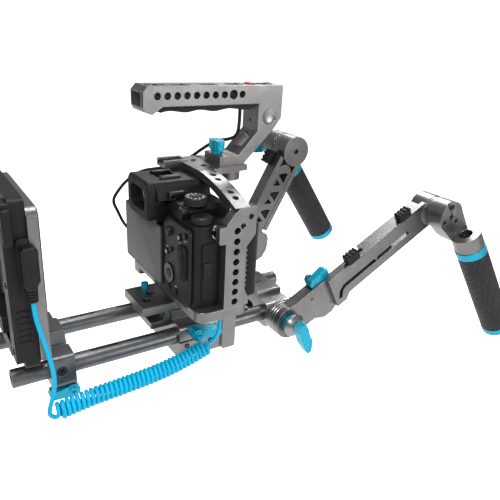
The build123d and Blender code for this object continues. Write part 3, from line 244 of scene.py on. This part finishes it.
def ring_stack(bm, centre, normal, rings, segments, shape=None, close_start=True, close_end=True):
    """Rings of (radius, height) round a normal, joined; shape scales a ring's radius by angle."""
    x, y, z = basis(normal)
    loops = []
    for index, (radius, height) in enumerate(rings):
        loop = []
        for k in range(segments):
            angle = 2 * math.pi * k / segments
            scale = shape(index, angle) if shape else 1.0
            offset = x * math.cos(angle) * radius * scale + y * math.sin(angle) * radius * scale
            loop.append(bm.verts.new(Vector(centre) + offset + z * height))
        loops.append(loop)
    for low, high in zip(loops, loops[1:]):
        for k in range(segments):
            bm.faces.new((low[k], low[(k + 1) % segments], high[(k + 1) % segments], high[k]))
    if close_start:
        bm.faces.new(list(reversed(loops[0])))
    if close_end:
        bm.faces.new(loops[-1])
    return loops


def hexagon(angle):
    """How much nearer than its corners a hexagon's side is, at an angle."""
    return math.cos(math.radians(30)) / math.cos(angle % math.radians(60) - math.radians(30))


def add_screws(name, mat, body, screws):
    """Cap screw heads with hex sockets: screws are (centre, normal, radius, height)."""
    bm = bmesh.new()
    for centre, normal, radius, height in screws:
        soft = 0.12 * radius
        rings = [(radius, -0.2), (radius, height - soft), (radius - soft, height), (radius * 0.58, height),
                 (radius * 0.55, height - 0.1 * radius), (radius * 0.52, height - 0.75 * radius)]
        ring_stack(bm, centre, normal, rings, 36, lambda i, a: hexagon(a) if i >= 3 else 1.0)
    return add_piece(bm, name, mat, body)


def rounded_outline(width, height, radius, steps=6):
    points = []
    for corner_x, corner_y, start in ((1, 1, 0), (-1, 1, 90), (-1, -1, 180), (1, -1, 270)):
        for k in range(steps + 1):
            angle = math.radians(start + 90 * k / steps)
            points.append((corner_x * (width / 2 - radius) + radius * math.cos(angle),
                           corner_y * (height / 2 - radius) + radius * math.sin(angle)))
    return points


def slab(bm, centre, normal, width, height, thickness, radius, soft=0.3, up=(0, 0, 1)):
    """A rounded plate with softened front edges, standing on a face."""
    x, y, z = basis(normal, up)
    loops = []
    eased = 0.3 * soft
    for inset, level in ((0, 0), (0, thickness - soft), (eased, thickness - eased), (soft, thickness)):
        outline = rounded_outline(width - 2 * inset, height - 2 * inset, max(radius - inset, 0.05))
        loops.append([bm.verts.new(Vector(centre) + x * u + y * v + z * level) for u, v in outline])
    count = len(loops[0])
    for low, high in zip(loops, loops[1:]):
        for k in range(count):
            bm.faces.new((low[k], low[(k + 1) % count], high[(k + 1) % count], high[k]))
    bm.faces.new(list(reversed(loops[0])))
    bm.faces.new(loops[-1])


def add_slabs(name, mat, body, slabs):
    """Several slabs as one piece: each entry holds slab()'s values after the bmesh."""
    bm = bmesh.new()
    for values in slabs:
        slab(bm, *values)
    return add_piece(bm, name, mat, body)


def frames_along(points, first_side):
    """Point, side and up at each point, with no twist between neighbours."""
    side = Vector(first_side)
    found = []
    for k, point in enumerate(points):
        ahead = (points[min(k + 1, len(points) - 1)] - points[max(k - 1, 0)]).normalized()
        side = (side - ahead * side.dot(ahead)).normalized()
        found.append((point, side.copy(), ahead.cross(side)))
    return found


def tube(name, points, radius, mat, body, segments=14):
    """A round tube along points in metres in the row frame."""
    bm = bmesh.new()
    loops = []
    for point, side, up in frames_along(points, (1, 0.1, 0)):
        loops.append([bm.verts.new(point / MM + (side * math.cos(a) + up * math.sin(a)) * radius)
                      for a in (2 * math.pi * k / segments for k in range(segments))])
    for low, high in zip(loops, loops[1:]):
        for k in range(segments):
            bm.faces.new((low[k], low[(k + 1) % segments], high[(k + 1) % segments], high[k]))
    bm.faces.new(list(reversed(loops[0])))
    bm.faces.new(loops[-1])
    return add_piece(bm, name, mat, body)


# ---------------------------------------------------------------- cords
def nurbs(name, route):
    """A smooth curve with the route's points, in millimetres, as its control points."""
    data = bpy.data.curves.new(name, "CURVE")
    data.dimensions = "3D"
    data.resolution_u = 12
    spline = data.splines.new("NURBS")
    spline.points.add(len(route) - 1)
    for knot, point in zip(spline.points, route):
        knot.co = (*(value * MM for value in point), 1)
    spline.order_u = 3
    spline.use_endpoint_u = True
    obj = bpy.data.objects.new(name, data)
    bpy.context.collection.objects.link(obj)
    return obj


def line_of(curve):
    """Points along a curve that has no thickness yet."""
    mesh = bpy.data.meshes.new_from_object(curve)
    points = [vertex.co.copy() for vertex in mesh.vertices]
    bpy.data.meshes.remove(mesh)
    return points


def guide_line(route):
    """Points of a route's smooth curve, which isn't kept."""
    curve = nurbs("guide", route)
    points = line_of(curve)
    bpy.data.objects.remove(curve)
    return points


def length_of(points):
    return sum((b - a).length for a, b in zip(points, points[1:]))


def spread(points, count):
    """The same line, cut into equal steps."""
    total, walked, index = length_of(points), 0.0, 0
    found = []
    for k in range(count):
        target = total * k / (count - 1)
        while index < len(points) - 2 and walked + (points[index + 1] - points[index]).length < target:
            walked += (points[index + 1] - points[index]).length
            index += 1
        step = points[index + 1] - points[index]
        found.append(points[index] + step * min(1.0, (target - walked) / step.length))
    return found


def relax(points, centre, reach, rounds):
    """Smooth a line near one of its points."""
    for _ in range(rounds):
        kept = [point.copy() for point in points]
        for k in range(max(1, centre - reach), min(len(points) - 1, centre + reach)):
            points[k] = kept[k] * 0.5 + (kept[k - 1] + kept[k + 1]) * 0.25


REAR_LEAD = [(56, -147.5, 97), (56.1, -147.6, 86), (56.4, -145.4, 72), (57, -142.0, 55),
             (57.6, -139.4, 39), (58.0, -138.8, 24), (57.8, -141.8, 11), (58.2, -145.0, 2.2),
             (59.0, -144.8, -4.0), (59.8, -139.8, -5.2)]
COIL_ROUTE = [(60, -140, 0.3), (60, -118, 4.2), (60, -88, 6.0), (60, -56, 8.6),
              (60, -28, 14.4), (60.5, -9.5, 21.6)]
FRONT_LEAD = [(60.5, -9.5, 21.6), (61.4, -2.6, 26.4), (63.6, -0.8, 36.5), (65.2, -1.4, 47.5),
              (66, -2.2, 56.7)]
TRIGGER_ROUTE = [(0, 49.6, 216.3), (0, 50, 201), (-2, 49.5, 188), (-9, 44, 183.5), (-19, 38, 181.5),
                 (-28, 29.5, 173), (-36.5, 20, 162.5), (-42, 8, 155), (-50, -6, 151.5), (-61, -18, 148),
                 (-70, -29, 138), (-76.5, -37, 125), (-80, -41, 115), (-80, -36, 104), (-78, -32.5, 94),
                 (-73.5, -29.5, 88.5), (-68, -28, 87)]
CORD_D, COIL_D, CABLE_D = 3.5, 15.0, 3.0
TURNS, STEPS_PER_TURN = 35, 24
CLOSING_TURNS = 0.8                                      # the last turns run in to the coil's axis
REAR_TRIM, COIL_TRIM, FRONT_TRIM = 4, 2, 5               # points dropped where two stretches are blended
BLEND_ROUNDS = 24

coil_axis = spread(guide_line(COIL_ROUTE), TURNS * STEPS_PER_TURN + 1)
coil_radius = (COIL_D - CORD_D) / 2 * MM
winding = []
for k, (point, side, up) in enumerate(frames_along(coil_axis, (0, 0, -1))):
    turn = k / STEPS_PER_TURN
    closing = min(1.0, (TURNS - turn) / CLOSING_TURNS)
    radius = coil_radius * math.sin(math.pi / 2 * closing)
    angle = 2 * math.pi * turn
    winding.append(point + (side * math.cos(angle) - up * math.sin(angle)) * radius)
rear_line, front_line = guide_line(REAR_LEAD), guide_line(FRONT_LEAD)
cord_line = rear_line[:-REAR_TRIM] + winding[COIL_TRIM:-COIL_TRIM] + front_line[FRONT_TRIM:]
coil_starts = len(rear_line) - REAR_TRIM
coil_ends = coil_starts + len(winding) - 2 * COIL_TRIM
relax(cord_line, coil_starts, 12, BLEND_ROUNDS)
relax(cord_line, coil_ends, 14, BLEND_ROUNDS)
power_cord = tube("power_cord", cord_line, CORD_D / 2, LOOKS["blue_cord"], "root")
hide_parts("power_lead_rear", "power_coil", "power_lead_front")

relief = bmesh.new()
RELIEF_TOP, RIB_PITCH, RIBS = 106.1, 2.25, 5
rings = []
for k in range(RIBS):
    top = RELIEF_TOP - RIB_PITCH * k
    rib, neck = 4.0 - 0.12 * k, 3.1 - 0.08 * k
    rings += [(rib, top), (rib, top - 1.4), (neck, top - 1.5), (neck, top - 2.2)]
ring_stack(relief, (*REAR_LEAD[0][:2], 0), UP, rings[:-2], 32)
strain_relief = add_piece(relief, "strain_relief", LOOKS["black_plastic"], "root")

trigger = nurbs("trigger_wire", TRIGGER_ROUTE)
trigger_line = line_of(trigger)
trigger.data.bevel_depth = CABLE_D / 2 * MM
trigger.data.bevel_resolution = 5
trigger.data.use_fill_caps = True
trigger.data.materials.append(LOOKS["black_cable"])
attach(trigger, "root")
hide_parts("trigger_cable")
print("cords", round(length_of(cord_line), 4), round(length_of(trigger_line), 4))

# ---------------------------------------------------------------- camera details
HINGE_Y, HINGE_Z = -32.3, 124.5
SHOE_Y, SHOE_Z = -22, 159.6
MODE_DIAL, MODE_DIAL_TOP, MARKS, MARK_RING = (44, -15.5), 152.7, 12, 6.6
PANEL_Y = -34.02                                         # the rear panel's face
PORT_X, PORT_Z, PORT_HEIGHT = -60.0, 104, 46
add_slabs("display", EXTRA["display"], "screen",
          [((-17.5, -35.9, 95.6), BACK, 77, 51, 0.35, 1.2)])
add_slabs("screen_hinge_covers", LOOKS["camera_black"], "root",
          [((x, HINGE_Y, HINGE_Z), BACK, 16, 3.4, 2.0, 1.2) for x in (-45, 9)])
add_slabs("eyepiece_window", EXTRA["eyepiece"], "root",
          [((0, -39.8, 143.5), BACK, 27, 17, 1.2, 4)])
add_slabs("hot_shoe", LOOKS["black_steel"], "root",
          [((x, SHOE_Y, SHOE_Z), UP, 2.6, 17.6, 2.1, 0.4, 0.2, FRONT) for x in (-10.2, 10.2)]
          + [((0, -14.6, 159.4), UP, 18, 1.6, 1.4, 0.4, 0.2, FRONT)]
          + [((x, SHOE_Y, 160.9), UP, 2.2, 17.2, 0.7, 0.4, 0.2, FRONT) for x in (-8.0, 8.0)])
add_slabs("diopter_housing", LOOKS["camera_black"], "root",
          [((23, -24, 149), RIGHT, 15, 7.5, 5.5, 2.0, 0.9)])
add_screws("diopter_wheel", LOOKS["black_steel"], "root",
           [((28.4, -28, 149), RIGHT, 3.4, 1.4)])
contacts = [((x, -19, 157.5), UP, 1.6, 3.0, 0.25, 0.5, 0.1, FRONT) for x in (-4, 0, 4)]
add_slabs("hot_shoe_contacts", LOOKS["gold"], "root", contacts)


def add_torus(name, centre, normal, major, minor, mat, body, squash=1.0, around=40, section=12):
    """A ring of round wire; squash stretches it along its own up direction."""
    x, y, z = basis(normal)
    bm = bmesh.new()
    loops = []
    for k in range(around):
        a = 2 * math.pi * k / around
        out = x * math.cos(a) + y * math.sin(a) * squash
        middle = Vector(centre) + out * major
        loops.append([bm.verts.new(middle + out * minor * math.cos(b) + z * minor * math.sin(b))
                      for b in (2 * math.pi * j / section for j in range(section))])
    for k in range(around):
        low, high = loops[k], loops[(k + 1) % around]
        for j in range(section):
            bm.faces.new((low[j], low[(j + 1) % section], high[(j + 1) % section], high[j]))
    return add_piece(bm, name, mat, body)


add_torus("strap_ring", (73.2, -12.5, 130.5), (0.35, -1, 0), 3.9, 0.7, EXTRA["steel"], "root",
          squash=1.25)
add_screws("strap_lug", EXTRA["steel"], "root", [((70.4, -12, 134.5), RIGHT, 2.4, 2.2)])

ticks = []
for k in range(MARKS):
    angle = 2 * math.pi * k / MARKS
    out_x, out_y = math.cos(angle), math.sin(angle)
    place = (MODE_DIAL[0] + MARK_RING * out_x, MODE_DIAL[1] + MARK_RING * out_y, MODE_DIAL_TOP)
    ticks.append((place, UP, 0.7, 1.9, 0.2, 0.2, 0.05, (out_x, out_y, 0)))
add_slabs("mode_dial_marks", EXTRA["white_mark"], "mode_dial", ticks)
dial_cap = bmesh.new()
ring_stack(dial_cap, (*MODE_DIAL, MODE_DIAL_TOP), UP,
           [(4.2, 0), (4.2, 0.5), (3.8, 0.8), (3.0, 0.7), (0.6, 0.6)], 36)
add_piece(dial_cap, "mode_dial_lock", LOOKS["black_steel"], "mode_dial")
shoulder_button = bmesh.new()
ring_stack(shoulder_button, (46.5, -27.2, 141.5), UP, [(4.6, 0), (4.6, 3.2), (4.1, 3.8), (0.6, 3.8)], 36)
add_piece(shoulder_button, "shoulder_button", LOOKS["black_steel"], "root")

label_ticks = [((x, PANEL_Y, z), BACK, 3.0, 0.6, 0.08, 0.2, 0.03) for x, z in
               ((34, 78.0), (47, 78.0), (31, 108.2), (54, 119.6), (63, 123.8))]
add_slabs("control_marks", EXTRA["white_mark"], "root", label_ticks)
thumb_rest = bmesh.new()
slab(thumb_rest, (59, -33.9, 104), BACK, 15, 31, 3.4, 6.5, 3.0)
add_piece(thumb_rest, "thumb_rest", LOOKS["grip_leather"], "root")

add_slabs("port_doors", LOOKS["grip_leather"], "root",
          [((PORT_X, -6, PORT_Z), LEFT, 17, PORT_HEIGHT, 0.5, 2.5, 0.3),
           ((PORT_X, 3.0, PORT_Z), LEFT, 0.8, PORT_HEIGHT, 0.7, 0.3, 0.2),
           ((PORT_X, -24, PORT_Z), LEFT, 14, PORT_HEIGHT, 0.5, 2.5, 0.3)])
add_slabs("card_door_latch", LOOKS["camera_black"], "card_door",
          [((71.9, -18.2, 99.5), RIGHT, 8.5, 13, 0.9, 1.2, 0.4),
           ((72.7, -17, 98.5), RIGHT, 4.0, 6, 0.5, 0.8, 0.25)])
for knob_x, knob_z in ((54, 124), (31, 104)):
    add_screws(f"rear_button_{knob_x}", EXTRA["steel"], "root",
               [((knob_x, -35.2, knob_z), BACK, 1.5, 0.5)])

# ---------------------------------------------------------------- handle and rod details
HANDLE_END_Y, HANDLE_END_Z = -45.5, 223.4
ANCHORS = (-31, -8, 17, 42, 73)                          # slots along the handle's top
ROD_X, ROD_TOP, SLOT_FIRST, SLOT_PITCH, SLOT_COUNT = 30.0, 27.5, -91.0, 43.0, 5
add_slabs("handle_rear_cap", LOOKS["black_plastic"], "root",
          [((0, -45.4, 223.4), BACK, 18, 11, 0.6, 2.0, 0.3)])
add_slabs("handle_rear_frame", LOOKS["anodised"], "root",
          [((side * 9.8, HANDLE_END_Y, HANDLE_END_Z), BACK, 2.0, 13, 0.9, 0.8, 0.3) for side in (-1, 1)]
          + [((0, HANDLE_END_Y, z), BACK, 20, 1.6, 0.9, 0.7, 0.3) for z in (217.6, 229.2)])
# painted shade: dark sheets inside the rods' slots, standing in for the shade in the hollow tube
add_slabs("rod_slot_painted_shade", EXTRA["painted_slot_shade"], "root",
          [((x, SLOT_FIRST + SLOT_PITCH * n, ROD_TOP - 0.9), UP, 3.1, 23.2, 0.4, 1.5, 0.1, FRONT)
           for x in (-ROD_X, ROD_X) for n in range(SLOT_COUNT)])
# painted shade: dark sheets in the handle's top slots, standing in for the shade in the recesses
add_slabs("handle_anchor_slot_painted_shade", EXTRA["painted_slot_shade"], "root",
          [((0, y, 231.2), UP, 8.4, 17.4, 0.5, 4.0, 0.1, FRONT) for y in ANCHORS])
add_screws("handle_top_screws", LOOKS["black_steel"], "root",
           [((0, y + offset, 231.6), UP, 2.9, 1.9) for y in ANCHORS for offset in (-4.2, 4.2)])
post_dish = bmesh.new()
ring_stack(post_dish, (10.3, 73, 206), RIGHT,
           [(7.3, 0.0), (7.3, 1.9), (6.6, 1.5), (4.5, 0.6), (2.2, 0.3), (0.5, 0.25)], 48)
add_piece(post_dish, "post_dish", EXTRA["bright_anodised"], "root")
record_ring = bmesh.new()
ring_stack(record_ring, (0, 58, 232.9), UP, [(5.2, 0), (5.2, 0.5), (4.5, 0.5), (4.5, 0.0)], 40,
           close_end=False, close_start=False)
add_piece(record_ring, "record_button_ring", LOOKS["black_plastic"], "root")

# ---------------------------------------------------------------- cage, base and battery details
cage_screws = [((76, 8, 136), RIGHT, 2.2, 3.0), ((76, 15, 143), RIGHT, 2.2, 3.0)]
cage_screws += [((x, y, 64.6), UP, 2.6, 1.2) for x, y in ((-38, 11), (44, 11))]
cage_screws += [((x, 12, 166.0), UP, 2.4, 0.9) for x in (-14, 6)]
cage_screws += [((41.0, y, 13), RIGHT, 2.4, 0.9) for y in (-20, 4)]
add_screws("cage_screws", LOOKS["black_steel"], "root", cage_screws)
plate_screws = [((x, -137.5, z), FRONT, 2.4, 0.8) for x in (-44, 44) for z in (48, 82, 116, 154)]
plate_screws += [((x, -162.0, z), BACK, 2.4, 0.8) for x in (-41, 41) for z in (50, 104, 158)]
add_screws("battery_plate_screws", LOOKS["black_steel"], "root", plate_screws)
add_slabs("battery_plate_ribs", LOOKS["black_plastic"], "root",
          [((49.0, -154, 60 + 5 * k), RIGHT, 9, 1.8, 0.7, 0.6, 0.2) for k in range(6)])
add_slabs("power_tap_bezel", LOOKS["black_plastic"], "root",
          [((49.0, -149.6, 120), RIGHT, 9.0, 42, 2.2, 2.5, 0.6)])
side_teeth = [((80.0, 12.0, 84 + 4.4 * k), RIGHT, 2.2, 1.1, 0.35, 0.3, 0.15) for k in range(8)]
add_slabs("cage_edge_marks", LOOKS["anodised"], "root", side_teeth)
add_screws("front_clamp_screws", LOOKS["black_steel"], "front_clamp",
           [((x, 94, 29), FRONT, 2.0, 0.8) for x in (-12, 12)])


# ---------------------------------------------------------------- rosettes
PIVOT = (80, 20)                                         # Y and Z of the lower rosettes' axis
DOME_PROFILE = [(11.3, -0.2), (11.3, 0.9), (10.9, 1.2), (10.9, 1.6), (10.6, 1.9), (9.4, 3.4), (7.6, 4.9),
                (6.3, 5.9), (5.6, 6.4)]
BAND_PROFILE = [(16.05, 0), (16.3, 0.3), (16.3, 0.9), (16.05, 1.2)]


def add_dome(arm, side):
    """The stepped washer under a rosette's lever."""
    bm = bmesh.new()
    ring_stack(bm, (side * 65.3, *PIVOT), (side, 0, 0), DOME_PROFILE, 64)
    add_piece(bm, f"{arm}_rosette_dome", EXTRA["bright_anodised"], f"{arm}_rosette_lever")


def add_bands(arm, side, first=45.2, pitch=3.2):
    """Three thin bands round a rosette's outer half."""
    bm = bmesh.new()
    for band in range(3):
        ring_stack(bm, (side * (first + pitch * band), *PIVOT), (side, 0, 0), BAND_PROFILE, 64,
                   close_start=False, close_end=False)
    add_piece(bm, f"{arm}_rosette_bands", EXTRA["steel"], f"{arm}_arm")


for arm_name, arm_side in (("right", 1), ("left", -1)):
    add_dome(arm_name, arm_side)
    add_bands(arm_name, arm_side)

# ---------------------------------------------------------------- camera, light and floor
CAMERA_PLACE = (0.42335, -0.21433, 0.28675)              # metres, row frame
CAMERA_RIGHT = (0.53649, 0.84222, 0.05358)
CAMERA_UP = (-0.35169, 0.16541, 0.92140)
CAMERA_BEHIND = (0.76713, -0.51317, 0.38493)
cam_data = bpy.data.cameras.new("camera")
cam = bpy.data.objects.new("camera", cam_data)
bpy.context.collection.objects.link(cam)
cam.matrix_world = Matrix([*zip(CAMERA_RIGHT, CAMERA_UP, CAMERA_BEHIND, CAMERA_PLACE), (0, 0, 0, 1)])
cam_data.lens = 40.24
cam_data.sensor_width = 36
cam_data.clip_start = 0.01
bpy.context.scene.camera = cam

floor_mesh = bpy.data.meshes.new("floor")
FLOOR_Z, FLOOR_HALF = -0.42, 30.0
WORLD_LIGHT, FLOOR_LIGHT = 0.3, 0.12    # what the pale surroundings add to the rig
SEEN_WHITE = 1.02                       # how bright they look


def whiter_when_seen(tree, strength, unseen):
    """Give `strength` one value as light and a brighter one where the surroundings are looked at."""
    ray = new_node(tree, "ShaderNodeLightPath")
    tree.links.new(remap(tree, ray.outputs["Is Camera Ray"], 0.0, 1.0, unseen, SEEN_WHITE), strength)


corners = [(x * FLOOR_HALF, y * FLOOR_HALF, FLOOR_Z) for x, y in ((-1, -1), (1, -1), (1, 1), (-1, 1))]
floor_mesh.from_pydata(corners, [], [(0, 1, 2, 3)])
floor = bpy.data.objects.new("floor", floor_mesh)
bpy.context.collection.objects.link(floor)
floor_mat = bpy.data.materials.new("floor")
floor_mat.use_nodes = True
floor_shader = floor_mat.node_tree.nodes["Principled BSDF"]
floor_shader.inputs["Base Color"].default_value = (0.92, 0.92, 0.92, 1)
floor_shader.inputs["Roughness"].default_value = 0.9
floor_shader.inputs["Emission Color"].default_value = (1, 1, 1, 1)
whiter_when_seen(floor_mat.node_tree, floor_shader.inputs["Emission Strength"], FLOOR_LIGHT)
floor_mesh.materials.append(floor_mat)

world = bpy.data.worlds.new("studio")
world.use_nodes = True
shine = world.node_tree.nodes["Background"]
shine.inputs["Color"].default_value = (1, 1, 1, 1)
whiter_when_seen(world.node_tree, shine.inputs["Strength"], WORLD_LIGHT)
bpy.context.scene.world = world


def add_light(name, place, target, size, power):
    """A square soft light, turned to its target; metres and watts."""
    data = bpy.data.lights.new(name, "AREA")
    data.size = size
    data.energy = power
    light = bpy.data.objects.new(name, data)
    bpy.context.collection.objects.link(light)
    light.location = place
    light.rotation_euler = (Vector(target) - Vector(place)).to_track_quat("-Z", "Y").to_euler()


RIG = (0, 0, 0.1)
add_light("key", (1.2, -1.0, 1.4), RIG, 0.6, 26)
add_light("rim", (-0.9, 0.9, 1.2), RIG, 0.7, 26)
add_light("side", (1.7, 0.9, 0.45), RIG, 0.8, 15)
add_light("top", (0.1, 0.0, 1.8), RIG, 0.8, 20)
bpy.context.scene.view_settings.view_transform = "Standard"
